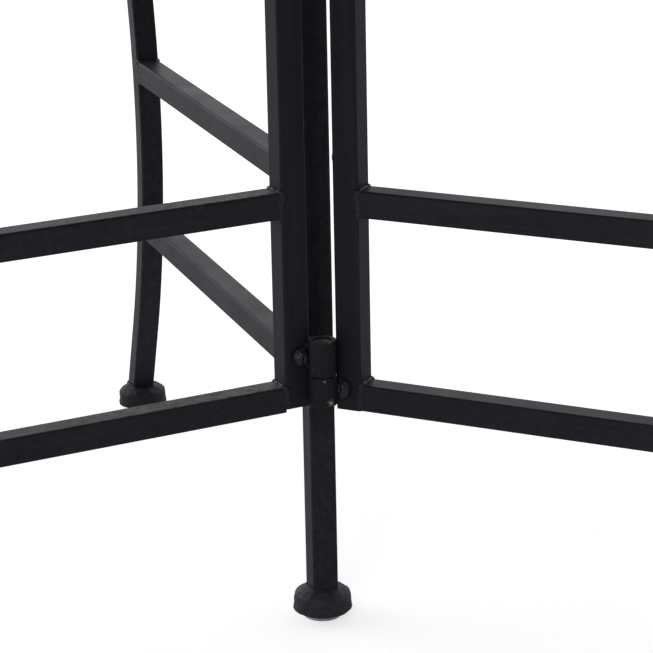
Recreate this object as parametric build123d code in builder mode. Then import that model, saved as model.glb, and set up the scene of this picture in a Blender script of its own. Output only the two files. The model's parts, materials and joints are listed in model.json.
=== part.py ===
"""Folding side table: a removable round tray on a hinged three-panel base of square steel tube.

The left panel is the middle leaf of the base. The right panel folds onto its front and the back panel,
which carries the centre leg, folds onto its back. The origin is on the floor under the tray's centre,
+Z is up, and +Y points to the back. All sizes are in millimetres and all angles in degrees.
"""
from math import asin, cos, radians, sin, tan
import os

from build123d import *

os.makedirs("parts", exist_ok=True)

# Square tube
TUBE = 12.0
TUBE_WALL = 1.2
TUBE_CORNER = 1.3
HALF = TUBE / 2
CAVITY = TUBE - 2 * TUBE_WALL
CAVITY_CORNER = 0.4

# Heights above the floor
LOWER_RAIL_Z = 116.6
UPPER_RAIL_Z = 203.7
TOP_RAIL_Z = 460.0
BASE_TOP = 474.0
LEFT_POST_BOTTOM = 112.3
RIGHT_POST_BOTTOM = LOWER_RAIL_Z - HALF
LEG_FOOT_Z = 9.0

# Directions of the opened panels, counter-clockwise from +X as seen from above
LEFT_ANGLE = 208.1
RIGHT_ANGLE = -26.95
BACK_ANGLE = 108.55

# Outer leg: a splayed straight foot, a long bow that is narrowest at the waist, and a soft return to vertical
WAIST_REACH = 282.2
WAIST_Z = 173.4
BOW_RADIUS = 307.0
RETURN_RADIUS = 450.0
FOOT_SPLAY = 22.9
SHOULDER_LEAN = 18.0
FOOT_REACH = 320.5

# Hinges: straps rolled round a pin, each with a tapered round end screwed flat to its post
FRONT_AXIS = Vector(0.3, -17.5, 0)
STRAP = 1.8
BARREL_RADIUS = 6.0
PIN_RADIUS = BARREL_RADIUS - STRAP
PIN_CLEARANCE = 0.06
PIN_TOP_RECESS = 0.7
PIN_BOTTOM_RECESS = 0.5
PIN_CHAMFER = 0.5
LEAF_TIP_RADIUS = 3.9
LOWER_KNUCKLE = 12.8
UPPER_KNUCKLE = 15.9
KNUCKLE_GAP = 0.8
HINGE_BOTTOMS = {
    "front": {"lower": 114.15, "upper": 414.0},
    "back": {"lower": 108.3, "upper": 414.0},
}
LEFT_EDGE_GAP = 2.95
RIGHT_EDGE_GAP = 3.2
BACK_EDGE_GAP = 3.7

# Domed screws
SCREW_REACH = 8.5
SCREW_RADIUS = 1.95
SCREW_HOLE_RADIUS = 2.0
LEAF_HOLE_RADIUS = 2.15
HEAD_RADIUS = 3.5
HEAD_HEIGHT = 2.4
HEAD_DOME = 2.2
SHANK_LENGTH = 6.0
CROSS_LENGTH = 2.8
CROSS_WIDTH = 0.9
CROSS_DEPTH = 1.2

# Feet
CUP_BOTTOM = 3.2
CUP_TOP = 14.0
CUP_RADIUS = 13.2
CUP_FLARE = 0.4
CUP_FLARE_HEIGHT = 3.5
CUP_LIP_HEIGHT = 1.0
CUP_LIP_BEVEL = 0.8
CUP_SHOULDER = 3.6
GLIDE_RADIUS = 9.5
GLIDE_TOP = 8.0
GLIDE_BEVEL = 1.0

# Plugs, bumpers and the pad on the right post
BUMPER_HEIGHT = 3.0
BUMPER_ROUND = 1.0
STEM = CAVITY - 0.1
STEM_CORNER = 0.8
STEM_LENGTH = 6.0
PLUG_LENGTH = 4.5
PAD_RADIUS = 2.7
PAD_THICKNESS = 1.0
PAD_ROUND = 0.5
PAD_OFFSET = -1.5
PAD_Z = 223.0

# Tray
TRAY_RADIUS = 381.0
TRAY_TOP = 508.0
TRAY_SHEET = 0.9
TRAY_BEND = 8.0
TRAY_FLARE = 8.0
BEAD_RADIUS = 3.2
WIRE_RADIUS = 1.9
TRAY_CLEARANCE = 0.3


def direction(angle):
    """Unit vector in plan at an angle from +X."""
    return Vector(cos(radians(angle)), sin(radians(angle)), 0)


def save(part, name):
    """Label a finished piece and write its STEP file."""
    part.label = name
    export_step(part, f"parts/{name}.step")


class Panel:
    """Plan frame of one panel: the inner post's centre, its way out, and the side on its left."""

    def __init__(self, name, angle, post):
        self.name = name
        self.out = direction(angle)
        self.side = direction(angle + 90)
        self.post = post

    def point(self, reach, side=0.0, z=0.0):
        return self.post + self.out * reach + self.side * side + Vector(0, 0, z)

    def level(self, reach, z):
        """Horizontal plane at a height, with its origin on the panel's centre line and local X outwards."""
        return Plane(origin=self.point(reach, 0, z), x_dir=self.out, z_dir=(0, 0, 1))

    def across(self, reach, z):
        """Plane square to the rails, facing outwards."""
        return Plane(origin=self.point(reach, 0, z), x_dir=self.side, z_dir=self.out)

    def upright(self):
        """Plane of the panel, with local X outwards and local Y up."""
        return Plane(origin=self.post, x_dir=self.out, z_dir=self.side * -1)


# Places of the posts, worked out from the hinge axes
AXIS_OFF = HALF + BARREL_RADIUS


def post_beside(axis, angle, side, edge_gap):
    """Centre of a post whose leaf faces the hinge axis with its left side (+1) or its right side (-1)."""
    return axis + direction(angle) * (HALF + edge_gap) - direction(angle + 90) * (side * AXIS_OFF)


left_post_centre = post_beside(FRONT_AXIS, LEFT_ANGLE, 1, LEFT_EDGE_GAP)
right_post_centre = post_beside(FRONT_AXIS, RIGHT_ANGLE, -1, RIGHT_EDGE_GAP)
back_edge = left_post_centre - direction(LEFT_ANGLE) * (HALF + BACK_EDGE_GAP)
BACK_AXIS = back_edge - direction(LEFT_ANGLE + 90) * AXIS_OFF
centre_leg_centre = post_beside(BACK_AXIS, BACK_ANGLE, 1, BACK_EDGE_GAP)

left = Panel("left", LEFT_ANGLE, left_post_centre)
right = Panel("right", RIGHT_ANGLE, right_post_centre)
back = Panel("back", BACK_ANGLE, centre_leg_centre)
PANELS = (left, right, back)

# Each hinge line: its name, axis, and for both leaves the panel, the side of its post and the edge gap
HINGE_LINES = (
    ("front", FRONT_AXIS, (left, 1, LEFT_EDGE_GAP), (right, -1, RIGHT_EDGE_GAP)),
    ("back", BACK_AXIS, (left, -1, BACK_EDGE_GAP), (back, 1, BACK_EDGE_GAP)),
)


def screws_on(panel):
    """Plane under each screw head on a panel's post, lying on the leaf's outer face."""
    planes = []
    for line, _, upper_leaf, lower_leaf in HINGE_LINES:
        for bottom in HINGE_BOTTOMS[line].values():
            upper_z = bottom + LOWER_KNUCKLE + KNUCKLE_GAP + UPPER_KNUCKLE / 2
            lower_z = bottom + LOWER_KNUCKLE / 2
            for (owner, side, edge_gap), z in ((upper_leaf, upper_z), (lower_leaf, lower_z)):
                if owner is panel:
                    reach = SCREW_REACH - HALF - edge_gap
                    origin = owner.point(reach, side * (HALF + STRAP), z)
                    planes.append(Plane(origin=origin, x_dir=owner.out, z_dir=owner.side * side))
    return planes


# Inner posts and the centre leg
def make_post(panel, name, bottom):
    """Straight square tube with a hole under every hinge screw."""
    with BuildPart() as post:
        with BuildSketch(panel.level(0, bottom)):
            RectangleRounded(TUBE, TUBE, TUBE_CORNER)
            RectangleRounded(CAVITY, CAVITY, CAVITY_CORNER, mode=Mode.SUBTRACT)
        extrude(amount=BASE_TOP - bottom)
        with BuildSketch(*[plane.offset(-STRAP) for plane in screws_on(panel)]):
            Circle(SCREW_HOLE_RADIUS)
        extrude(amount=-2 * TUBE_WALL, mode=Mode.SUBTRACT)
    save(post.part, name)


make_post(left, "left_post", LEFT_POST_BOTTOM)
make_post(right, "right_post", RIGHT_POST_BOTTOM)
make_post(back, "centre_leg", LEG_FOOT_Z)

# Outer legs
KNEE = (
    WAIST_REACH + BOW_RADIUS * (1 - cos(radians(FOOT_SPLAY))),
    WAIST_Z - BOW_RADIUS * sin(radians(FOOT_SPLAY)),
)
SHOULDER = (
    WAIST_REACH + BOW_RADIUS * (1 - cos(radians(SHOULDER_LEAN))),
    WAIST_Z + BOW_RADIUS * sin(radians(SHOULDER_LEAN)),
)
NECK = (
    SHOULDER[0] + RETURN_RADIUS * (1 - cos(radians(SHOULDER_LEAN))),
    SHOULDER[1] + RETURN_RADIUS * sin(radians(SHOULDER_LEAN)),
)
HALF_LEAN = radians(SHOULDER_LEAN / 2)
RETURN_MIDDLE = (NECK[0] - RETURN_RADIUS * (1 - cos(HALF_LEAN)), NECK[1] - RETURN_RADIUS * sin(HALF_LEAN))
TOE = (KNEE[0] + KNEE[1] * tan(radians(FOOT_SPLAY)), 0)


def leg_solid(panel, hollow):
    """Outer leg bent in the panel's own plane, from its end in the foot cup to the top of the base."""
    with BuildPart() as leg:
        with BuildLine(panel.upright()) as route:
            Line(TOE, KNEE)
            ThreePointArc(KNEE, (WAIST_REACH, WAIST_Z), SHOULDER)
            ThreePointArc(SHOULDER, RETURN_MIDDLE, NECK)
            Line(NECK, (NECK[0], BASE_TOP))
        start = Plane(origin=route.line @ 0, x_dir=panel.side, z_dir=route.line % 0)
        with BuildSketch(start):
            RectangleRounded(TUBE, TUBE, TUBE_CORNER)
            if hollow:
                RectangleRounded(CAVITY, CAVITY, CAVITY_CORNER, mode=Mode.SUBTRACT)
        sweep(path=route.line)
        split(bisect_by=Plane.XY.offset(LEG_FOOT_Z), keep=Keep.TOP)
    return leg.part


outer_envelopes = {panel.name: leg_solid(panel, hollow=False) for panel in PANELS}
for panel in PANELS:
    save(leg_solid(panel, hollow=True), f"{panel.name}_leg")


# Rails
def rail_end(z):
    """Where a rail meets the outer leg, and how far the leg's face leans there, both measured on the face."""
    if z > NECK[1]:
        return NECK[0] - HALF, 0.0
    face_radius = BOW_RADIUS + HALF
    lean = asin((z - WAIST_Z) / face_radius)
    return WAIST_REACH + BOW_RADIUS - face_radius * cos(lean), lean


def make_rail(panel, name, z):
    """Square tube from the face of the inner post to the outer leg, its far end mitred to the leg's face."""
    reach, lean = rail_end(z)
    outwards = panel.out * cos(lean) - Vector(0, 0, sin(lean))
    leg_face = Plane(origin=panel.point(reach, 0, z), x_dir=panel.side, z_dir=outwards)
    with BuildPart() as rail:
        with BuildSketch(panel.across(HALF, z)):
            RectangleRounded(TUBE, TUBE, TUBE_CORNER)
            RectangleRounded(CAVITY, CAVITY, CAVITY_CORNER, mode=Mode.SUBTRACT)
        extrude(amount=reach)
        split(bisect_by=leg_face, keep=Keep.BOTTOM)
    save(rail.part, name)


for panel in PANELS:
    make_rail(panel, f"{panel.name}_lower_rail", LOWER_RAIL_Z)
    make_rail(panel, f"{panel.name}_upper_rail", UPPER_RAIL_Z)
    make_rail(panel, f"{panel.name}_top_rail", TOP_RAIL_Z)

# The centre leg's solid outline, which its foot cup is cut to
with BuildPart() as centre_envelope:
    with BuildSketch(back.level(0, LEG_FOOT_Z)):
        RectangleRounded(TUBE, TUBE, TUBE_CORNER)
    extrude(amount=CUP_TOP)


# Feet
def make_foot(panel, reach, envelope, prefix):
    """Pressed steel foot cup welded round the end of a leg, and the plastic glide held in its underside."""
    axis_plane = Plane(origin=panel.point(reach), x_dir=panel.out, z_dir=panel.side * -1)
    rim = CUP_RADIUS + CUP_FLARE
    crown = CUP_RADIUS - CUP_SHOULDER
    shoulder_z = CUP_TOP - CUP_SHOULDER
    with BuildPart() as cup:
        with BuildSketch(axis_plane):
            with BuildLine():
                Polyline(
                    (0, GLIDE_TOP),
                    (GLIDE_RADIUS, GLIDE_TOP),
                    (GLIDE_RADIUS, CUP_BOTTOM),
                    (rim - CUP_LIP_BEVEL, CUP_BOTTOM),
                    (rim, CUP_BOTTOM + CUP_LIP_HEIGHT),
                    (CUP_RADIUS, CUP_BOTTOM + CUP_FLARE_HEIGHT),
                    (CUP_RADIUS, shoulder_z),
                )
                RadiusArc((CUP_RADIUS, shoulder_z), (crown, CUP_TOP), -CUP_SHOULDER)
                Polyline((crown, CUP_TOP), (0, CUP_TOP), (0, GLIDE_TOP))
            make_face()
        revolve(axis=Axis(origin=panel.point(reach), direction=(0, 0, 1)))
        add(envelope, mode=Mode.SUBTRACT)
    save(cup.part, f"{prefix}_foot_cup")

    with BuildPart() as glide:
        with BuildSketch(panel.level(reach, 0)):
            Circle(GLIDE_RADIUS)
        extrude(amount=GLIDE_TOP)
        chamfer(glide.edges().filter_by(GeomType.CIRCLE).sort_by(Axis.Z)[0], length=GLIDE_BEVEL)
    save(glide.part, f"{prefix}_glide")


for panel in PANELS:
    make_foot(panel, FOOT_REACH, outer_envelopes[panel.name], panel.name)
make_foot(back, 0, centre_envelope.part, "centre")


# Bumpers on the tops of the tubes, plugs in the low ends of the short posts
def make_bumpers(panel):
    """Rubber caps with a stem, one on the inner post and one on the outer leg."""
    with BuildPart() as bumpers:
        with BuildSketch(panel.level(0, BASE_TOP), panel.level(NECK[0], BASE_TOP)):
            RectangleRounded(TUBE, TUBE, TUBE_CORNER)
        extrude(amount=BUMPER_HEIGHT)
        fillet(bumpers.faces().group_by(Axis.Z)[-1].edges(), radius=BUMPER_ROUND)
        with BuildSketch(panel.level(0, BASE_TOP), panel.level(NECK[0], BASE_TOP)):
            RectangleRounded(STEM, STEM, STEM_CORNER)
        extrude(amount=-STEM_LENGTH)
    save(bumpers.part, f"{panel.name}_bumpers")


for panel in PANELS:
    make_bumpers(panel)

for panel, bottom in ((left, LEFT_POST_BOTTOM), (right, RIGHT_POST_BOTTOM)):
    with BuildPart() as plug:
        with BuildSketch(panel.level(0, bottom)):
            RectangleRounded(STEM, STEM, STEM_CORNER)
        extrude(amount=PLUG_LENGTH)
    save(plug.part, f"{panel.name}_post_plug")

with BuildPart() as pad:
    pad_centre = right.point(-HALF, PAD_OFFSET, PAD_Z)
    with BuildSketch(Plane(origin=pad_centre, x_dir=right.side, z_dir=right.out * -1)):
        Circle(PAD_RADIUS)
    extrude(amount=PAD_THICKNESS)
    outer_rim = pad.edges().filter_by(GeomType.CIRCLE).sort_by(Axis(right.post, right.out))[0]
    fillet(outer_rim, radius=PAD_ROUND)
save(pad.part, "right_post_pad")


# Hinges
def make_leaf(axis, panel, side, bottom, height, bore_radius, name):
    """Knuckle round the hinge axis, and its strap on the post, tapering to a round end under the screw."""
    facing = panel.side * side
    middle = axis - facing * BARREL_RADIUS + Vector(0, 0, bottom + height / 2)
    post_face = Plane(origin=middle, x_dir=panel.out, z_dir=facing)
    with BuildPart() as leaf:
        with BuildSketch(post_face):
            with BuildLine():
                Line((0, -height / 2), (0, height / 2))
            with Locations((SCREW_REACH, 0)):
                Circle(LEAF_TIP_RADIUS)
            make_hull()
        extrude(amount=STRAP)
        with BuildSketch(post_face):
            with Locations((SCREW_REACH, 0)):
                Circle(LEAF_HOLE_RADIUS)
        extrude(amount=STRAP, mode=Mode.SUBTRACT)
        with BuildSketch(Plane(origin=axis + Vector(0, 0, bottom))):
            Circle(BARREL_RADIUS)
        extrude(amount=height)
        with BuildSketch(Plane(origin=axis + Vector(0, 0, bottom))):
            Circle(bore_radius)
        extrude(amount=height, mode=Mode.SUBTRACT)
    save(leaf.part, name)


def make_pin(axis, bottom, name):
    """Plain pin, pressed into the upper knuckle and turning in the lower one, sunk a little at both ends."""
    height = LOWER_KNUCKLE + KNUCKLE_GAP + UPPER_KNUCKLE
    with BuildPart() as pin:
        with BuildSketch(Plane(origin=axis + Vector(0, 0, bottom + PIN_BOTTOM_RECESS))):
            Circle(PIN_RADIUS)
        extrude(amount=height - PIN_TOP_RECESS - PIN_BOTTOM_RECESS)
        chamfer(pin.edges().filter_by(GeomType.CIRCLE), length=PIN_CHAMFER)
    save(pin.part, name)


for line, axis, (upper_panel, upper_side, _), (lower_panel, lower_side, _) in HINGE_LINES:
    for place, bottom in HINGE_BOTTOMS[line].items():
        prefix = f"{line}_{place}_hinge"
        upper_bottom = bottom + LOWER_KNUCKLE + KNUCKLE_GAP
        upper_name = f"{prefix}_{upper_panel.name}_leaf"
        lower_name = f"{prefix}_{lower_panel.name}_leaf"
        loose_radius = PIN_RADIUS + PIN_CLEARANCE
        make_leaf(axis, upper_panel, upper_side, upper_bottom, UPPER_KNUCKLE, PIN_RADIUS, upper_name)
        make_leaf(axis, lower_panel, lower_side, bottom, LOWER_KNUCKLE, loose_radius, lower_name)
        make_pin(axis, bottom, f"{prefix}_pin")


# Screws, one group for each panel
def head_rims(heads, planes):
    """Outer rim of each screw head."""
    centres = [plane.offset(HEAD_HEIGHT).origin for plane in planes]
    rims = heads.edges().filter_by(GeomType.CIRCLE)
    return [rim for rim in rims if min((rim.arc_center - centre).length for centre in centres) < 0.01]


for panel in PANELS:
    planes = screws_on(panel)
    with BuildPart() as screws:
        with BuildSketch(*planes):
            Circle(HEAD_RADIUS)
        extrude(amount=HEAD_HEIGHT)
        fillet(head_rims(screws, planes), radius=HEAD_DOME)
        with BuildSketch(*planes):
            Circle(SCREW_RADIUS)
        extrude(amount=-SHANK_LENGTH)
        with BuildSketch(*[plane.offset(HEAD_HEIGHT) for plane in planes]):
            Rectangle(CROSS_LENGTH, CROSS_WIDTH)
            Rectangle(CROSS_WIDTH, CROSS_LENGTH)
        extrude(amount=-CROSS_DEPTH, mode=Mode.SUBTRACT)
    save(screws.part, f"{panel.name}_hinge_screws")

# Tray: spun from one sheet, its edge rolled over a wire
floor_z = BASE_TOP + BUMPER_HEIGHT + TRAY_CLEARANCE
bead_x = TRAY_RADIUS - BEAD_RADIUS
bead_z = TRAY_TOP - BEAD_RADIUS
wall_x = bead_x - BEAD_RADIUS + TRAY_SHEET
floor_x = wall_x - TRAY_FLARE
with BuildPart() as tray_pan:
    with BuildSketch(Plane.XZ):
        with BuildLine() as sheet:
            middle_z = floor_z + TRAY_SHEET / 2
            FilletPolyline((0, middle_z), (floor_x, middle_z), (wall_x, bead_z), radius=TRAY_BEND)
        trace(line_width=TRAY_SHEET)
        with Locations((bead_x, bead_z)):
            Circle(BEAD_RADIUS)
            Circle(WIRE_RADIUS, mode=Mode.SUBTRACT)
        split(bisect_by=Plane.YZ, keep=Keep.TOP)
    revolve(axis=Axis.Z)
save(tray_pan.part, "tray_pan")

with BuildPart() as tray_rim_wire:
    with BuildSketch(Plane.XZ):
        with Locations((bead_x, bead_z)):
            Circle(WIRE_RADIUS)
    revolve(axis=Axis.Z)
save(tray_rim_wire.part, "tray_rim_wire")
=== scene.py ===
"""Looks of the folding side table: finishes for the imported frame, and the pieces Blender adds to it.

Everything is in the CAD frame: +Z up, +Y to the back, origin on the floor under the tray's centre.
Blender works in metres. Sizes of pieces are written in millimetres and multiplied by MM where they
are used; the bumps and distances of materials are in metres.
"""

import json
from math import atan2, cos, pi, radians, sin, tan

import bmesh
import bpy
from mathutils import Matrix, Vector, noise


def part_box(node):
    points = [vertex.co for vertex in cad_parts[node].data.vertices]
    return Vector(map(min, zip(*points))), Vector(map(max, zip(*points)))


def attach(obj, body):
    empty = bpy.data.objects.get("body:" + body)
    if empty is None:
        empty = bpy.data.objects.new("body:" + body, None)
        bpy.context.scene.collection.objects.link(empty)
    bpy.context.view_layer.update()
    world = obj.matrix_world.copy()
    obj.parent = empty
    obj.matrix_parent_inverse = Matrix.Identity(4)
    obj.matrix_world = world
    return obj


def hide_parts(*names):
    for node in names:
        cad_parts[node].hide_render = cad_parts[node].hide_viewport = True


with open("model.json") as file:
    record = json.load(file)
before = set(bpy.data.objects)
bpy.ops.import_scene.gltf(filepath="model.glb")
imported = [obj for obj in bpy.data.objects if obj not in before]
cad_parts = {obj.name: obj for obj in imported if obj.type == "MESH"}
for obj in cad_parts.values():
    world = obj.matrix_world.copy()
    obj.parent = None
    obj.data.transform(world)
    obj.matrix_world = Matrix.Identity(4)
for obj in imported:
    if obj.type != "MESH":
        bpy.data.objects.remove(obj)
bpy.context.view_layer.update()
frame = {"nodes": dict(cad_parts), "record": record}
nodes = frame["nodes"]
bodies = frame["record"]["behaviour"]["bodies"]
node_body = {node: body for body, members in bodies.items() for node in members}
node_slot = {row["node"]: row["material_slot"] for row in frame["record"]["subparts"]}

MM = 0.001
HALF = 6.0  # half the width of the square tube
RIGHT, BACK, UP = Vector((1, 0, 0)), Vector((0, 1, 0)), Vector((0, 0, 1))


def clamp(value, low, high):
    return max(low, min(high, value))


def middle(node):
    """Centre of a CAD node's box, in metres."""
    low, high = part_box(node)
    return (low + high) / 2


class Panel:
    """Plan frame of one panel: the inner post's centre, its way out and the side on its left."""

    def __init__(self, name, angle, post_node):
        self.name = name
        self.body = f"{name}_panel"
        self.out = Vector((cos(radians(angle)), sin(radians(angle)), 0))
        self.side = Vector((-self.out.y, self.out.x, 0))
        low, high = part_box(post_node)
        self.post = Vector(((low.x + high.x) / 2, (low.y + high.y) / 2, 0))
        self.post_bottom = low.z / MM
        self.axes = (self.out, self.side, UP)

    def point(self, reach, side, z):
        """A place on the panel, from sizes in mm."""
        return self.post + (self.out * reach + self.side * side + UP * z) * MM


PANELS = {
    "left": Panel("left", 208.1, "left_post"),
    "right": Panel("right", -26.95, "right_post"),
    "back": Panel("back", 108.55, "centre_leg"),
}


# Materials
class Nodes:
    """Short ways to add shader nodes to one material or world and to join them."""

    def __init__(self, owner):
        self.tree = owner.node_tree

    def add(self, kind, inputs=None, **settings):
        node = self.tree.nodes.new(kind)
        for key, value in settings.items():
            setattr(node, key, value)
        for key, value in (inputs or {}).items():
            self.set(node.inputs[key], value)
        return node

    def set(self, socket, value):
        if isinstance(value, bpy.types.NodeSocket):
            self.tree.links.new(value, socket)
        else:
            socket.default_value = value

    def position(self):
        return self.add("ShaderNodeTexCoord").outputs["Object"]

    def height(self):
        return self.add("ShaderNodeSeparateXYZ", {"Vector": self.position()}).outputs["Z"]

    def noise(self, scale, detail=2.0, roughness=0.5, vector=None):
        inputs = {"Scale": scale, "Detail": detail, "Roughness": roughness}
        node = self.add("ShaderNodeTexNoise", inputs)
        self.set(node.inputs["Vector"], vector or self.position())
        return node.outputs["Fac"]

    def ramp(self, value, low, high, start=0.0, end=1.0):
        """Maps low..high of a value to start..end, held at both ends."""
        limits = {"From Min": low, "From Max": high, "To Min": start, "To Max": end}
        node = self.add("ShaderNodeMapRange", limits)
        self.set(node.inputs["Value"], value)
        return node.outputs["Result"]

    def math(self, operation, a, b=0.0):
        node = self.add("ShaderNodeMath", operation=operation)
        self.set(node.inputs[0], a)
        self.set(node.inputs[1], b)
        return node.outputs["Value"]

    def stretched(self, along, lengthwise, crosswise):
        """Object position with one scale along a direction and another across it."""
        across = along.orthogonal().normalized()
        third = along.cross(across)
        parts = []
        for axis, scale in ((along, lengthwise), (across, crosswise), (third, crosswise)):
            inputs = {0: self.position(), 1: axis * scale}
            part = self.add("ShaderNodeVectorMath", inputs, operation="DOT_PRODUCT")
            parts.append(part.outputs["Value"])
        return self.add("ShaderNodeCombineXYZ", dict(zip("XYZ", parts))).outputs["Vector"]

    def distance(self, point):
        """Distance of the surface from a point."""
        inputs = {0: self.position(), 1: point}
        return self.add("ShaderNodeVectorMath", inputs, operation="DISTANCE").outputs["Value"]

    def distance_from_axis(self):
        """Distance of the surface from the upright line through the origin."""
        inputs = {0: self.position(), 1: (1, 1, 0)}
        flat = self.add("ShaderNodeVectorMath", inputs, operation="MULTIPLY").outputs["Vector"]
        return self.add("ShaderNodeVectorMath", {0: flat}, operation="LENGTH").outputs["Value"]

    def mix(self, factor, a, b):
        node = self.add("ShaderNodeMix", data_type="RGBA")
        self.set(node.inputs["Factor"], factor)
        self.set(node.inputs[6], a)
        self.set(node.inputs[7], b)
        return node.outputs[2]

    def bump(self, height, distance, strength, normal=None):
        inputs = {"Strength": strength, "Distance": distance, "Height": height}
        node = self.add("ShaderNodeBump", inputs)
        if normal:
            self.set(node.inputs["Normal"], normal)
        return node.outputs["Normal"]

    def facing_up(self):
        """0 on sides and undersides, rising to 1 where dust can settle."""
        normal = self.add("ShaderNodeNewGeometry").outputs["Normal"]
        upward = self.add("ShaderNodeSeparateXYZ", {"Vector": normal}).outputs["Z"]
        return self.ramp(upward, 0.75, 0.98)


def new_material(name):
    """An empty node material, its Principled shader and its node helper."""
    material = bpy.data.materials.new(name)
    material.use_nodes = True
    return material, material.node_tree.nodes["Principled BSDF"], Nodes(material)


BLACK = (0.0180, 0.0170, 0.0256, 1.0)
BLACK_WORN = (0.0250, 0.0240, 0.0325, 1.0)
# Painted highlight: the tops of the orange peel are painted lighter
PEEL_HIGHLIGHT = (0.042, 0.040, 0.045, 1.0)
# Lighter streaks along the drawing marks, painted sheen on real marks
DRAWING_MARKS_AND_SHEEN = (0.046, 0.043, 0.049, 1.0)
DUST = (0.084, 0.082, 0.080, 1.0)
# Pale haze painted on as fill light, for tubes that stand in shade
PAINTED_FILL_HAZE = (0.060, 0.059, 0.066, 1.0)
WARM_DUST = (0.250, 0.220, 0.185, 1.0)
BRONZE = (0.20, 0.128, 0.088, 1.0)
BROWN = (0.060, 0.042, 0.032, 1.0)
BARE = (0.55, 0.45, 0.40, 1.0)
WHITE = (1.0, 1.0, 1.0, 1.0)

PEEL_HEIGHT = 0.00003
WAVE_HEIGHT = 0.00005
MARK_HEIGHT = 0.00004
LEATHER_HEIGHT = 0.00022
LEATHER_PEEL_HEIGHT = 0.00004
DUSTY_REACH = (0.03, 0.17)  # warm dust thins out between these distances from the table's middle


def coat_nodes(
    n, shader, along=None, roughness=0.42, specular=0.19, dust=0.30, dusty_centre=0.0, film=0.0
):
    """Satin black powder coat: a fine orange peel, slow changes of gloss, and dust on what faces up.

    The tops of the orange peel are painted lighter as painted highlights. Along is the way the tube
    runs, whose drawing marks show faintly through the coat as bumps and as lighter streaks of painted
    sheen.
    The pale haze on every face is painted fill light for tubes that stand in shade, and dusty_centre is
    warm dust near the table's middle, both from 0 to 1.
    """
    slow = n.noise(28.0, detail=3.0, roughness=0.55)
    fine = n.noise(1500.0, detail=2.0, roughness=0.6)
    grit = n.noise(5200.0, detail=1.0, roughness=0.5)
    colour = n.mix(n.ramp(slow, 0.35, 0.7), BLACK, BLACK_WORN)
    # Painted highlight: where the fine noise lifts the peel's bumps highest, the colour is painted
    # lighter
    colour = n.mix(n.ramp(fine, 0.62, 0.78, end=0.5), colour, PEEL_HIGHLIGHT)
    # Painted fill light: a pale haze lightens the coat of tubes that stand in shade
    if film:
        fill_haze = n.noise(260.0, detail=5.0, roughness=0.75)
        colour = n.mix(n.ramp(fill_haze, 0.40, 0.66, start=0.15 * film, end=film), colour, PAINTED_FILL_HAZE)
    patches = n.noise(210.0, detail=5.0, roughness=0.7)
    settled = n.math("MULTIPLY", n.facing_up(), n.ramp(patches, 0.42, 0.68, start=0.05, end=dust))
    colour = n.mix(settled, colour, DUST)
    if dusty_centre:
        near = n.ramp(n.distance_from_axis(), *DUSTY_REACH, start=dusty_centre, end=0.0)
        near = n.math("MULTIPLY", near, n.facing_up())
        specks = n.noise(330.0, detail=4.0, roughness=0.6)
        near = n.math("MULTIPLY", near, n.ramp(specks, 0.3, 0.6))
        colour = n.mix(near, colour, WARM_DUST)
    skin = n.bump(n.noise(240.0, detail=1.0, roughness=0.5), WAVE_HEIGHT, 0.5)
    if along is not None:
        # The drawing marks are real bumps, and their lighter streaks are painted sheen
        marks_and_sheen = n.noise(1.0, detail=3.0, roughness=0.6, vector=n.stretched(along, 9.0, 620.0))
        colour = n.mix(n.ramp(marks_and_sheen, 0.45, 0.75, end=0.4), colour, DRAWING_MARKS_AND_SHEEN)
        skin = n.bump(marks_and_sheen, MARK_HEIGHT, 0.8, skin)
    skin = n.bump(fine, PEEL_HEIGHT, 0.8, skin)
    skin = n.bump(grit, PEEL_HEIGHT * 0.5, 0.6, skin)
    gloss = n.ramp(slow, 0.3, 0.75, start=roughness - 0.05, end=roughness + 0.08)
    n.set(shader.inputs["Base Color"], colour)
    n.set(shader.inputs["Roughness"], gloss)
    n.set(shader.inputs["Normal"], skin)
    shader.inputs["Specular IOR Level"].default_value = specular
    return colour


def powder_coat(name, **options):
    material, shader, n = new_material(name)
    coat_nodes(n, shader, **options)
    return material


def leather_coat(name, dark, light):
    """Thick lumpy paint over a rough pressing, as on the foot cups."""
    material, shader, n = new_material(name)
    lumps = n.noise(430.0, detail=4.0, roughness=0.6)
    fine = n.noise(1500.0, detail=2.0, roughness=0.6)
    skin = n.bump(lumps, LEATHER_HEIGHT, 0.8)
    n.set(shader.inputs["Base Color"], n.mix(n.ramp(lumps, 0.35, 0.7), dark, light))
    n.set(shader.inputs["Roughness"], n.ramp(lumps, 0.3, 0.7, start=0.40, end=0.56))
    n.set(shader.inputs["Normal"], n.bump(fine, LEATHER_PEEL_HEIGHT, 0.9, skin))
    shader.inputs["Specular IOR Level"].default_value = 0.28
    return material


# Bottoms of the two front hinges, and the knuckle ends' heights above the bottom of their hinge
LOWER_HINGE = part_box("front_lower_hinge_right_leaf")[0].z
UPPER_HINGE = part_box("front_upper_hinge_right_leaf")[0].z
KNUCKLE_ENDS = [
    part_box(f"front_lower_hinge_{side}_leaf")[end].z - LOWER_HINGE
    for side in ("right", "left")
    for end in (0, 1)
]
FRONT_PIN = sum(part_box("front_lower_hinge_pin"), Vector()) / 2
RIM_WEAR = (0.45, 0.4, 0.12, 0.5)  # how far from each knuckle end the paint is rubbed, in mm

# Paint chips on the lower front hinge: place from the pin's axis and the hinge's bottom, and size, in mm
CHIPS = (
    ((3.3, -5.0, 2.0), 1.9),
    ((0.6, -5.9, 12.4), 0.8),
    ((3.1, -5.1, 29.0), 0.6),
)
CHIP_ORIGIN = Vector((FRONT_PIN.x, FRONT_PIN.y, LOWER_HINGE))
CHIP_RAGGED = 0.7 * MM


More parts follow.
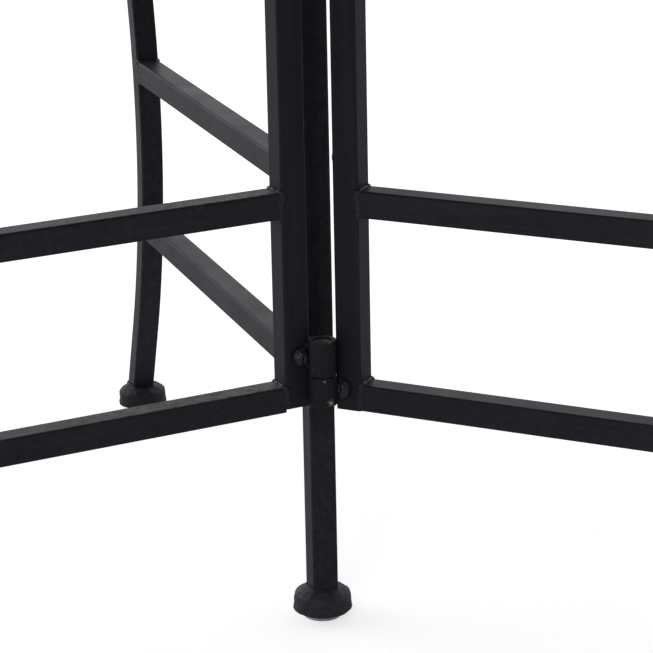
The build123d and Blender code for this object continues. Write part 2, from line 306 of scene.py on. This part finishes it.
def worn_coat(name):
    """Hinge paint, rubbed to bronze-coloured metal on the knuckles' rims and chipped in a few places."""
    material, shader, n = new_material(name)
    coat = coat_nodes(n, shader, roughness=0.45, dust=0.12)
    height = n.height()
    is_upper = n.math("GREATER_THAN", height, (LOWER_HINGE + UPPER_HINGE) / 2)
    base = n.math("MULTIPLY_ADD", is_upper, UPPER_HINGE - LOWER_HINGE)
    base.node.inputs[2].default_value = LOWER_HINGE
    above = n.math("SUBTRACT", height, base)
    rim = None
    for end, reach in zip(KNUCKLE_ENDS, RIM_WEAR):
        away = n.math("ABSOLUTE", n.math("SUBTRACT", above, end))
        band = n.ramp(away, 0.25 * reach * MM, reach * MM, start=1.0, end=0.0)
        rim = band if rim is None else n.math("MAXIMUM", rim, band)
    rubbed = n.ramp(n.noise(900.0, detail=3.0, roughness=0.65), 0.44, 0.62)
    wear = n.math("MULTIPLY", rim, rubbed)
    edges = n.ramp(n.add("ShaderNodeNewGeometry").outputs["Pointiness"], 0.56, 0.64)
    wear = n.math("MAXIMUM", wear, n.math("MULTIPLY", n.math("MULTIPLY", edges, rubbed), 0.7))
    bare = None
    for place, size in CHIPS:
        ragged = n.ramp(n.noise(1100.0), 0.3, 0.7, start=-CHIP_RAGGED, end=CHIP_RAGGED)
        away = n.math("ADD", n.distance(CHIP_ORIGIN + Vector(place) * MM), ragged)
        chip = n.ramp(away, 0.7 * size * MM, size * MM, start=1.0, end=0.0)
        core = n.ramp(away, 0.2 * size * MM, 0.5 * size * MM, start=1.0, end=0.0)
        wear = n.math("MAXIMUM", wear, chip)
        bare = core if bare is None else n.math("MAXIMUM", bare, core)
    tarnish = n.mix(n.ramp(n.noise(2600.0), 0.35, 0.65), BROWN, BRONZE)
    n.set(shader.inputs["Base Color"], n.mix(wear, coat, n.mix(bare, tarnish, BARE)))
    return material


def plain_coat(name, colour, other, roughness, scale, grain):
    """Moulded or machined surface, softly mottled with two colours, with a grain of the given height."""
    material, shader, n = new_material(name)
    mottling = n.ramp(n.noise(scale, detail=3.0), 0.35, 0.7)
    gloss = n.noise(scale * 2.5)
    gloss = n.ramp(gloss, 0.3, 0.7, start=roughness - 0.06, end=roughness + 0.08)
    n.set(shader.inputs["Base Color"], n.mix(mottling, colour, other))
    n.set(shader.inputs["Roughness"], gloss)
    n.set(shader.inputs["Normal"], n.bump(n.noise(scale * 30), grain, 0.6))
    return material


# Pairs of colours that finishes are mottled with
STEEL = (0.085, 0.068, 0.055, 1), (0.045, 0.035, 0.03, 1)
PALE = (0.92, 0.92, 0.91, 1), (0.84, 0.84, 0.82, 1)
GREY = (0.5, 0.5, 0.5, 1), (0.4, 0.4, 0.4, 1)
RUBBER = (0.012, 0.012, 0.012, 1), (0.02, 0.02, 0.02, 1)
# Painted light and shade on one cup paint: the centre cup's pair is painted lighter, the outer cups'
# darker
CENTRE_CUP_PAINTED_LIGHT = (0.034, 0.033, 0.042, 1.0), (0.052, 0.050, 0.061, 1.0)
OUTER_CUP_PAINTED_SHADE = (0.018, 0.017, 0.023, 1.0), (0.030, 0.029, 0.036, 1.0)

# Painted fill light (a pale haze that lightens tubes standing in shade, most on the back panel's
# uprights) and warm dust on the tubes, from 0 to 1
UPRIGHT_PAINTED_FILL = {"left": 0.0, "right": 0.0, "back": 0.55}
RAIL_PAINTED_FILL = {"left": 0.35, "right": 0.28, "back": 0.5}
RAIL_DUST = {"left": 0.95, "right": 0.0, "back": 0.0}

materials = {
    "black_frame": powder_coat("black_frame"),
    "black_tray": powder_coat("black_tray", roughness=0.40, dust=0.2),
    "black_hinge": worn_coat("black_hinge"),
    "black_screws": powder_coat("black_screws", roughness=0.30, specular=0.55, dust=0.15),
    "bare_steel": plain_coat("bare_steel", *STEEL, roughness=0.45, scale=300.0, grain=0.00002),
    "pale_plastic": plain_coat("pale_plastic", *PALE, roughness=0.4, scale=160.0, grain=0.00003),
    "clear_plastic": plain_coat("clear_plastic", *GREY, roughness=0.35, scale=160.0, grain=0.00002),
    "black_rubber": plain_coat("black_rubber", *RUBBER, roughness=0.6, scale=200.0, grain=0.00004),
}
centre_cup_lit_paint = leather_coat("centre_cup_lit_paint", *CENTRE_CUP_PAINTED_LIGHT)
outer_cup_shaded_paint = leather_coat("outer_cup_shaded_paint", *OUTER_CUP_PAINTED_SHADE)
hinge_paint = powder_coat("hinge_paint", roughness=0.45, dust=0.12)
weld_paint = powder_coat("weld_paint", roughness=0.36, specular=0.42, dust=0.5)
# One copy of the coat per panel, differing in painted fill light and in warm dust
upright_coats = {
    name: powder_coat(f"{name}_upright_coat", along=UP, film=UPRIGHT_PAINTED_FILL[name]) for name in PANELS
}
rail_coats = {
    name: powder_coat(
        f"{name}_rail_coat", along=panel.out, dusty_centre=RAIL_DUST[name], film=RAIL_PAINTED_FILL[name]
    )
    for name, panel in PANELS.items()
}

for name, node in nodes.items():
    owner = name.split("_")[0]
    if name.endswith(("_post", "_leg")):
        coat = upright_coats["back" if owner == "centre" else owner]
    elif name.endswith("_rail"):
        coat = rail_coats[owner]
    else:
        coat = materials[node_slot[name]]
    node.data.materials.clear()
    node.data.materials.append(coat)


# Mesh helpers
def add_piece(name, mesh, body, slot, material=None, replaced=()):
    """Put a finished mesh into the scene as a piece of the table."""
    piece = bpy.data.objects.new(name, mesh)
    bpy.context.scene.collection.objects.link(piece)
    mesh.materials.clear()
    mesh.materials.append(material or materials[slot])
    for polygon in mesh.polygons:
        polygon.use_smooth = True
    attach(piece, body)
    if replaced:
        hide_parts(*replaced)


def melted(source, voxel, rounds):
    """One relaxed skin over all the closed shells of a mesh. The voxel's size is in mm."""
    holder = bpy.data.objects.new("melting", source)
    bpy.context.scene.collection.objects.link(holder)
    skin = holder.modifiers.new("skin", "REMESH")
    skin.mode = "VOXEL"
    skin.voxel_size = voxel * MM
    relax = holder.modifiers.new("relax", "SMOOTH")
    relax.factor = 0.5
    relax.iterations = rounds
    depsgraph = bpy.context.evaluated_depsgraph_get()
    result = bpy.data.meshes.new_from_object(holder.evaluated_get(depsgraph))
    bpy.data.objects.remove(holder)
    return result


def roughen(mesh, layers, seed):
    """Push points along their normals by smooth noise. Layers are (size of the lumps, height) in mm."""
    shift = Vector((seed * 1.37, seed * 0.71, seed * 2.13))
    normals = [vertex.normal.copy() for vertex in mesh.vertices]
    for vertex, normal in zip(mesh.vertices, normals):
        push = sum(height * noise.noise(vertex.co / (size * MM) + shift) for size, height in layers)
        vertex.co += normal * (push * MM)


def lathe(shape, profile, origin, segments, axes=(RIGHT, BACK, UP)):
    """Add a closed solid of revolution about the third axis.

    Its profile of (radius, height) in mm starts and ends on the axis. The origin is in metres.
    """
    first, second, axis = axes
    rings = []
    for radius, height in profile:
        count = segments if radius > 0 else 1
        ring = []
        for turn in (2 * pi * i / count for i in range(count)):
            offset = first * (radius * cos(turn)) + second * (radius * sin(turn)) + axis * height
            ring.append(shape.verts.new(origin + offset * MM))
        rings.append(ring)
    for ring, next_ring in zip(rings, rings[1:]):
        for i in range(segments):
            j = (i + 1) % segments
            corners = []
            for owner, k in ((ring, i), (ring, j), (next_ring, j), (next_ring, i)):
                corner = owner[k % len(owner)]
                if corner not in corners:
                    corners.append(corner)
            shape.faces.new(corners)
    bmesh.ops.recalc_face_normals(shape, faces=shape.faces)


def blob(shape, place, axes, radii):
    """Add a small ellipsoid. Its place is in metres, its radii along the three axes are in mm."""
    turn = Matrix(axes).transposed().to_4x4()
    size = Matrix.Diagonal((*[radius * MM for radius in radii], 1.0))
    matrix = Matrix.Translation(place) @ turn @ size
    bmesh.ops.create_icosphere(shape, subdivisions=2, radius=1.0, matrix=matrix)


def finished(shape, name):
    """Turn a bmesh into a mesh and free it."""
    mesh = bpy.data.meshes.new(name)
    shape.to_mesh(mesh)
    shape.free()
    return mesh


# Weld beads at both ends of every rail
BEAD_SIZE = {"left": 0.85, "right": 1.05, "back": 0.7}
UNDER_BEAD = 0.8  # size of the bead under a rail against the one over it
BEAD_STEPS = 10
BEAD_INSET = 1.1  # how far a bead's last lump is from the tube's side
SMEAR_STEPS = 10
SMEAR_DEPTH = 1.0  # of the smears' centres inside the tube's side
POST_END_GAP = 0.8  # the smears start this far above a post's low end
HANGING = 3.0  # a rail that starts lower than this above the post's low end has no bead under it
RAIL_EDGE = 0.3  # a point this near a rail's top or bottom belongs to that edge


def rail_face(panel, node, outer):
    """Reach in mm of a rail's end along its bottom and its top, and their heights."""
    low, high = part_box(node)
    ends = []
    for level in (low.z, high.z):
        reaches = [
            (vertex.co - panel.post).dot(panel.out) / MM
            for vertex in nodes[node].data.vertices
            if abs(vertex.co.z - level) < RAIL_EDGE * MM
        ]
        ends.append(max(reaches) if outer else min(reaches))
    return ends[0], ends[1], low.z / MM, high.z / MM


def wobble(seed, step, amount):
    """A factor near 1 that changes from step to step, the same in every run."""
    return 1.0 + amount * noise.noise(Vector((seed * 3.1, step * 0.83, seed * 0.37)))


def weld_round_rail(shape, panel, node, outer, seed):
    """Lumpy beads over and under the rail's end, ground smears on its sides and lumps at its corners."""
    bottom_reach, top_reach, bottom, top = rail_face(panel, node, outer)
    inwards = -1.0 if outer else 1.0
    hangs = not outer and bottom < panel.post_bottom + HANGING
    runs = [(top_reach, top, 1.0, BEAD_SIZE[panel.name])]
    if not hangs:
        runs.append((bottom_reach, bottom, -1.0, UNDER_BEAD * BEAD_SIZE[panel.name]))
    for reach, level, up, size in runs:
        for i in range(BEAD_STEPS + 1):
            side = -HALF + BEAD_INSET + 2 * (HALF - BEAD_INSET) * i / BEAD_STEPS
            radius = size * wobble(seed + up, i, 0.45)
            drift = 0.45 * noise.noise(Vector((seed, i * 0.7, up)))
            height = level + up * (0.1 - drift * 0.5)
            place = panel.point(reach + inwards * (0.15 + drift), side, height)
            blob(shape, place, panel.axes, (radius * 1.25, 1.1, radius))
    for facing in (-1.0, 1.0):
        for i in range(SMEAR_STEPS):
            share = (i + 0.5) / SMEAR_STEPS
            z = bottom + (top - bottom) * share
            reach = bottom_reach + (top_reach - bottom_reach) * share
            if z < panel.post_bottom + POST_END_GAP and not outer:
                continue
            reach = reach - inwards * 0.5 * wobble(seed, i, 2.0)
            proud = 1.0 + 0.38 * wobble(seed + facing * 2, i, 1.2)
            place = panel.point(reach, facing * (HALF - SMEAR_DEPTH), z)
            blob(shape, place, panel.axes, (2.2 * wobble(seed - facing, i, 0.5), proud, 1.2))
        proud = 1.75 * wobble(seed, facing, 0.25)
        corner = panel.point(top_reach - inwards * 0.7, facing * (HALF - 0.95), top - 0.7)
        blob(shape, corner, panel.axes, (2.0, proud, 1.7))
        if not hangs:
            reach = bottom_reach - inwards * 0.2
            corner = panel.point(reach, facing * (HALF - 0.9), bottom + 0.6)
            blob(shape, corner, panel.axes, (1.3, proud * 0.95, 1.3))


for number, panel in enumerate(PANELS.values()):
    beads = bmesh.new()
    for order, level in enumerate(("lower", "upper", "top")):
        for outer in (False, True):
            seed = 10 * number + 3 * order + outer
            weld_round_rail(beads, panel, f"{panel.name}_{level}_rail", outer, seed)
    skin = melted(finished(beads, "beads"), voxel=0.32, rounds=3)
    roughen(skin, ((0.9, 0.12), (2.4, 0.16)), number + 1)
    add_piece(f"{panel.name}_weld_beads", skin, panel.body, "black_frame", weld_paint)


# Foot cups: rough pressed domes with a soft shoulder, open over the glide and welded round the leg
CUP_PROFILE = (
    (0, 8.05), (9.6, 8.05), (9.6, 3.2), (12.9, 3.2), (13.45, 3.7), (13.6, 4.4), (13.4, 5.6),
    (13.15, 6.9), (13.15, 9.3), (13.05, 10.4), (12.75, 11.3), (12.25, 11.95), (11.6, 12.35),
    (10.95, 12.65), (10.2, 13.2), (9.0, 13.85), (7.2, 14.0), (5.0, 13.7), (0, 13.7),
)
CUP_TOP = 13.8
CUP_WELD_STEPS = 40
CUP_WELD_SIZE = 0.95
SOLE_EDGE = 0.05  # a point this near a leg's low end belongs to its sole
# Lean of each leg at its foot, in degrees
FOOT_LEAN = {"left": 22.9, "right": 22.9, "back": 22.9, "centre": 0.0}


def foot_cup(prefix, panel, seed):
    low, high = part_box(f"{prefix}_foot_cup")
    centre = Vector(((low.x + high.x) / 2, (low.y + high.y) / 2, 0))
    cup = bmesh.new()
    lathe(cup, CUP_PROFILE, centre, segments=96)
    lean = radians(FOOT_LEAN[prefix])
    half_length = HALF / cos(lean)
    foot_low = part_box(f"{prefix}_leg")[0].z / MM
    leg = nodes[f"{prefix}_leg"].data
    sole = [vertex.co for vertex in leg.vertices if vertex.co.z / MM < foot_low + SOLE_EDGE]
    sole_reach = sum((co - panel.post).dot(panel.out) for co in sole) / len(sole) / MM
    leg_reach = sole_reach - (CUP_TOP - foot_low) * tan(lean)
    for i in range(CUP_WELD_STEPS):
        angle = 2 * pi * (i + 0.5) / CUP_WELD_STEPS
        stretch = 1.0 / max(abs(cos(angle)), abs(sin(angle)))
        reach = leg_reach + half_length * clamp(cos(angle) * stretch, -1.0, 1.0)
        side = HALF * clamp(sin(angle) * stretch, -1.0, 1.0)
        radius = CUP_WELD_SIZE * wobble(seed + 20, i, 0.7)
        place = panel.point(reach, side, CUP_TOP - 0.1)
        blob(cup, place, panel.axes, (radius, radius, radius * 0.95))
    skin = melted(finished(cup, "cup"), voxel=0.42, rounds=2)
    roughen(skin, ((1.5, 0.16), (4.0, 0.30), (9.0, 0.25)), seed)
    # Painted light and shade: the centre cup takes the lighter copy of the cup paint, the outer cups the
    # darker
    paint = centre_cup_lit_paint if prefix == "centre" else outer_cup_shaded_paint
    add_piece(f"{prefix}_cup_skin", skin, panel.body, "black_frame", paint, [f"{prefix}_foot_cup"])


for number, prefix in enumerate(("left", "right", "back", "centre")):
    foot_cup(prefix, PANELS["back" if prefix == "centre" else prefix], number + 5)


# Hinges under thick paint: the strap sinks to the post and narrows to hide under its screw's head
SCREW_REACH = 8.5  # of a screw from its hinge's axis
STRAP_START = 4.6  # distance from the axis where the strap leaves the barrel
STRAP_HEIGHT = 2.6  # metal lower than this on the post is strap
STRAP_THINNER = 0.5
STRAP_NARROWER = 0.72
BARREL_CORE = 5.2  # metal farther than this from the axis is the barrel's outside
BARREL_SWELL = 0.16
leaves = sorted(name for name in nodes if name.endswith("_leaf"))
pins = sorted(name for name in nodes if name.endswith("_pin"))


def side_of(panel, place):
    """1 on the left face of the panel's post, -1 on its right face."""
    return 1.0 if (place - panel.post).dot(panel.side) > 0 else -1.0


def painted_leaf(name, seed):
    hinge, owner = name.split("_hinge_")
    panel = PANELS[owner.removesuffix("_leaf")]
    axis = middle(f"{hinge}_hinge_pin")
    centre = middle(name)
    facing = panel.side * side_of(panel, centre)
    skin = melted(nodes[name].data.copy(), voxel=0.26, rounds=3)
    for vertex in skin.vertices:
        flat = Vector((vertex.co.x - axis.x, vertex.co.y - axis.y, 0))
        reach = flat.dot(panel.out) / MM
        height = (vertex.co - panel.post).dot(facing) / MM - HALF
        share = clamp((reach - STRAP_START) / (SCREW_REACH - STRAP_START), 0.0, 1.0)
        if share > 0 and height < STRAP_HEIGHT:
            sunk = height * (1 - STRAP_THINNER * min(1.0, share * 3)) - height
            short = (reach - SCREW_REACH) * (STRAP_NARROWER - 1) if reach > SCREW_REACH else 0.0
            vertex.co += (facing * sunk + panel.out * short) * MM
            narrower = 1 - (1 - STRAP_NARROWER) * share
            vertex.co.z = centre.z + (vertex.co.z - centre.z) * narrower
        elif flat.length > BARREL_CORE * MM:
            vertex.co += flat.normalized() * BARREL_SWELL * MM
    skin.update()
    roughen(skin, ((1.2, 0.07), (3.5, 0.12)), seed)
    paint = materials["black_hinge"] if hinge.startswith("front") else hinge_paint
    add_piece(f"{name}_painted", skin, panel.body, "black_hinge", paint, [name])


def turned_pin(name):
    """A hinge pin with both its ends chamfered."""
    low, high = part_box(name)
    bottom, top = low.z / MM, high.z / MM
    profile = (
        (0, bottom), (3.6, bottom), (4.15, bottom + 0.5),
        (4.15, top - 0.6), (3.95, top - 0.2), (3.3, top), (0, top + 0.1),
    )
    centre = middle(name)
    pin = bmesh.new()
    lathe(pin, profile, Vector((centre.x, centre.y, 0)), segments=48)
    add_piece(f"{name}_turned", finished(pin, name), node_body[name], "bare_steel", None, [name])


for number, name in enumerate(leaves):
    painted_leaf(name, number + 30)
for name in pins:
    turned_pin(name)


# Hinge screws: domed heads a little taller than they are wide, lumpy with paint, on shanks in the tube
SCREW_PROFILE = (
    (0, -4.2), (1.95, -4.2), (1.95, 0.3), (3.3, 0.3), (3.65, 0.7), (3.75, 1.3), (3.6, 2.1),
    (3.2, 2.9), (2.6, 3.6), (1.9, 4.1), (1.2, 4.35), (0.75, 4.3), (0.5, 3.9), (0, 3.7),
)
HEAD_SHIFT = {"left": 0.5, "right": 1.3, "back": 0.6}  # towards the barrel
HEAD_STRETCH = 1.18  # a head's height along the post against its width
SCREW_SEARCH = 4.5  # a point of the screws this near a leaf's middle height belongs to its screw


def painted_screws(panel, seed):
    name = f"{panel.name}_hinge_screws"
    offsets = [vertex.co - panel.post for vertex in nodes[name].data.vertices]
    heads = bmesh.new()
    for leaf in leaves:
        if not leaf.endswith(f"_hinge_{panel.name}_leaf"):
            continue
        centre = middle(leaf)
        facing = side_of(panel, centre)
        reaches = [
            offset.dot(panel.out) / MM
            for offset in offsets
            if abs(offset.z - centre.z) < SCREW_SEARCH * MM and offset.dot(panel.side) * facing > 0
        ]
        reach = (min(reaches) + max(reaches)) / 2 - HEAD_SHIFT[panel.name]
        origin = panel.point(reach, facing * HALF, centre.z / MM)
        axes = (panel.out, UP * HEAD_STRETCH, panel.side * facing)
        lathe(heads, SCREW_PROFILE, origin, segments=48, axes=axes)
    skin = melted(finished(heads, name), voxel=0.22, rounds=2)
    roughen(skin, ((0.8, 0.16), (1.9, 0.34)), seed)
    add_piece(f"{name}_painted", skin, panel.body, "black_screws", None, [name])


for number, panel in enumerate(PANELS.values()):
    painted_screws(panel, number + 50)


# Tray: spun sheet with a soft bend, its edge rolled over the wire
TRAY_SHEET = 0.9
TRAY_BEND = 8.0
TRAY_FLARE = 8.0
TRAY_RINGS = (90.0, 180.0, 270.0, 330.0, 358.0)  # radii that divide the flat floor
CURL_OUTER = 3.2
CURL_INNER = 1.95
CURL_END = -120.0  # where the rolled edge stops, in degrees round its centre
WALL_END = 1.8  # the straight wall stops this far below the rolled edge's centre
BEND_STEPS = 12
WALL_STEPS = 6


def circle_points(centre, radius, start, end, steps):
    """Points round a part of a circle, from one angle to another in degrees."""
    turns = [radians(start + (end - start) * i / steps) for i in range(steps + 1)]
    return [(centre[0] + radius * cos(turn), centre[1] + radius * sin(turn)) for turn in turns]


def tray_profile():
    """Section of the tray, from its centre out over the rolled edge and back underneath, in mm."""
    low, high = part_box("tray_pan")
    curl = (high.x / MM - CURL_OUTER, high.z / MM - CURL_OUTER)
    wall_x = curl[0] - CURL_OUTER + TRAY_SHEET
    floor_x = wall_x - TRAY_FLARE
    floor_z = low.z / MM + TRAY_SHEET / 2
    slope = atan2(curl[1] - floor_z, TRAY_FLARE)
    tangent = TRAY_BEND * tan(slope / 2)
    sheet = [(radius, floor_z, 0.0) for radius in TRAY_RINGS]  # middle of the sheet: x, z and slope
    for i in range(BEND_STEPS + 1):
        turn = slope * i / BEND_STEPS
        x = floor_x - tangent + TRAY_BEND * sin(turn)
        sheet.append((x, floor_z + TRAY_BEND * (1 - cos(turn)), turn))
    start_x, start_z, _ = sheet[-1]
    for i in range(1, WALL_STEPS + 1):
        share = i / WALL_STEPS
        z = start_z + (curl[1] - WALL_END - start_z) * share
        sheet.append((start_x + (z - start_z) / tan(slope), z, slope))
    half = TRAY_SHEET / 2
    inside = [(x - half * sin(turn), z + half * cos(turn)) for x, z, turn in sheet]
    outside = [(x + half * sin(turn), z - half * cos(turn)) for x, z, turn in sheet]
    over = circle_points(curl, CURL_OUTER, 180.0, CURL_END, steps=40)
    back = circle_points(curl, CURL_INNER, CURL_END, 180.0, steps=30)
    return [(0, floor_z + half), *inside, *over, *back, *reversed(outside), (0, floor_z - half)]


tray = bmesh.new()
lathe(tray, tray_profile(), Vector((0, 0, 0)), segments=256)
add_piece("tray_spun", finished(tray, "tray_spun"), "tray", "black_tray", None, ["tray_pan"])


# Floor and light. The camera sees a white floor; the steel reflects a dimmer one, as in a light tent.
FLOOR_SEEN = (0.94, 0.94, 0.94, 1.0)
FLOOR_REFLECTED = (0.68, 0.68, 0.68, 1.0)
FLOOR_GLOW = 0.62
SKY_COLOUR = (0.96, 0.96, 1.0, 1.0)

bpy.ops.mesh.primitive_plane_add(size=24.0, location=(0, 0, 0))
floor = bpy.context.object
floor.name = "studio_floor"
floor_material, floor_shader, n = new_material("studio_floor")
seen = n.add("ShaderNodeLightPath").outputs["Is Camera Ray"]
n.set(floor_shader.inputs["Base Color"], n.mix(seen, FLOOR_REFLECTED, FLOOR_SEEN))
n.set(floor_shader.inputs["Emission Strength"], n.math("MULTIPLY", seen, FLOOR_GLOW))
floor_shader.inputs["Emission Color"].default_value = WHITE
floor_shader.inputs["Roughness"].default_value = 0.9
floor_shader.inputs["Specular IOR Level"].default_value = 0.1
floor.data.materials.append(floor_material)


def studio_world(back, front, left, right):
    """Soft light all round, as strong from each side as given. The camera itself sees plain white."""
    world = bpy.data.worlds.new("studio")
    bpy.context.scene.world = world
    world.use_nodes = True
    n = Nodes(world)
    direction = n.add("ShaderNodeTexCoord").outputs["Generated"]
    parts = n.add("ShaderNodeSeparateXYZ", {"Vector": direction}).outputs
    towards_back = n.ramp(parts["Y"], -0.6, 0.7, start=front, end=back)
    towards_right = n.ramp(parts["X"], -0.8, 0.8, start=left, end=right)
    lit = n.tree.nodes["Background"]
    n.set(lit.inputs["Strength"], n.math("MULTIPLY", towards_back, towards_right))
    lit.inputs["Color"].default_value = SKY_COLOUR
    plain = n.add("ShaderNodeBackground", {"Color": WHITE, "Strength": 1.0})
    seen = n.add("ShaderNodeLightPath").outputs["Is Camera Ray"]
    both = n.add("ShaderNodeMixShader", {0: seen, 1: lit.outputs[0], 2: plain.outputs[0]})
    n.set(n.tree.nodes["World Output"].inputs["Surface"], both.outputs[0])


studio_world(back=0.96, front=0.28, left=1.05, right=0.72)


def softbox(name, place, target, size, watts):
    light = bpy.data.lights.new(name, "AREA")
    light.shape = "RECTANGLE"
    light.size, light.size_y = size
    light.energy = watts
    holder = bpy.data.objects.new(name, light)
    bpy.context.scene.collection.objects.link(holder)
    holder.location = place
    holder.rotation_euler = (Vector(target) - Vector(place)).to_track_quat("-Z", "Y").to_euler()


softbox("left_softbox", (-2.2, 0.9, 0.9), target=(0, 0, 0.2), size=(1.4, 1.2), watts=8.0)
softbox("right_softbox", (2.3, 1.0, 0.9), target=(0, 0, 0.2), size=(1.4, 1.2), watts=1.5)
softbox("front_softbox", (-0.45, -1.75, 1.25), target=(0, 0, 0.13), size=(0.5, 0.4), watts=4.5)


# Camera, at the photograph's place, pitch and roll
FOCAL_PIXELS = 2578.9
IMAGE_WIDTH = 653.0
CAMERA_PLACE = Vector((0.00235, -1.08531, 0.47464))
CAMERA_PITCH = 16.94
CAMERA_ROLL = 1.18

camera_data = bpy.data.cameras.new("camera")
camera_data.sensor_width = 36.0
camera_data.lens = camera_data.sensor_width * FOCAL_PIXELS / IMAGE_WIDTH
camera = bpy.data.objects.new("camera", camera_data)
bpy.context.scene.collection.objects.link(camera)
tilt = Matrix.Rotation(radians(90.0 - CAMERA_PITCH), 4, "X")
roll = Matrix.Rotation(radians(-CAMERA_ROLL), 4, "Z")
camera.matrix_world = Matrix.Translation(CAMERA_PLACE) @ tilt @ roll
bpy.context.scene.camera = camera
bpy.context.scene.view_settings.view_transform = "Standard"
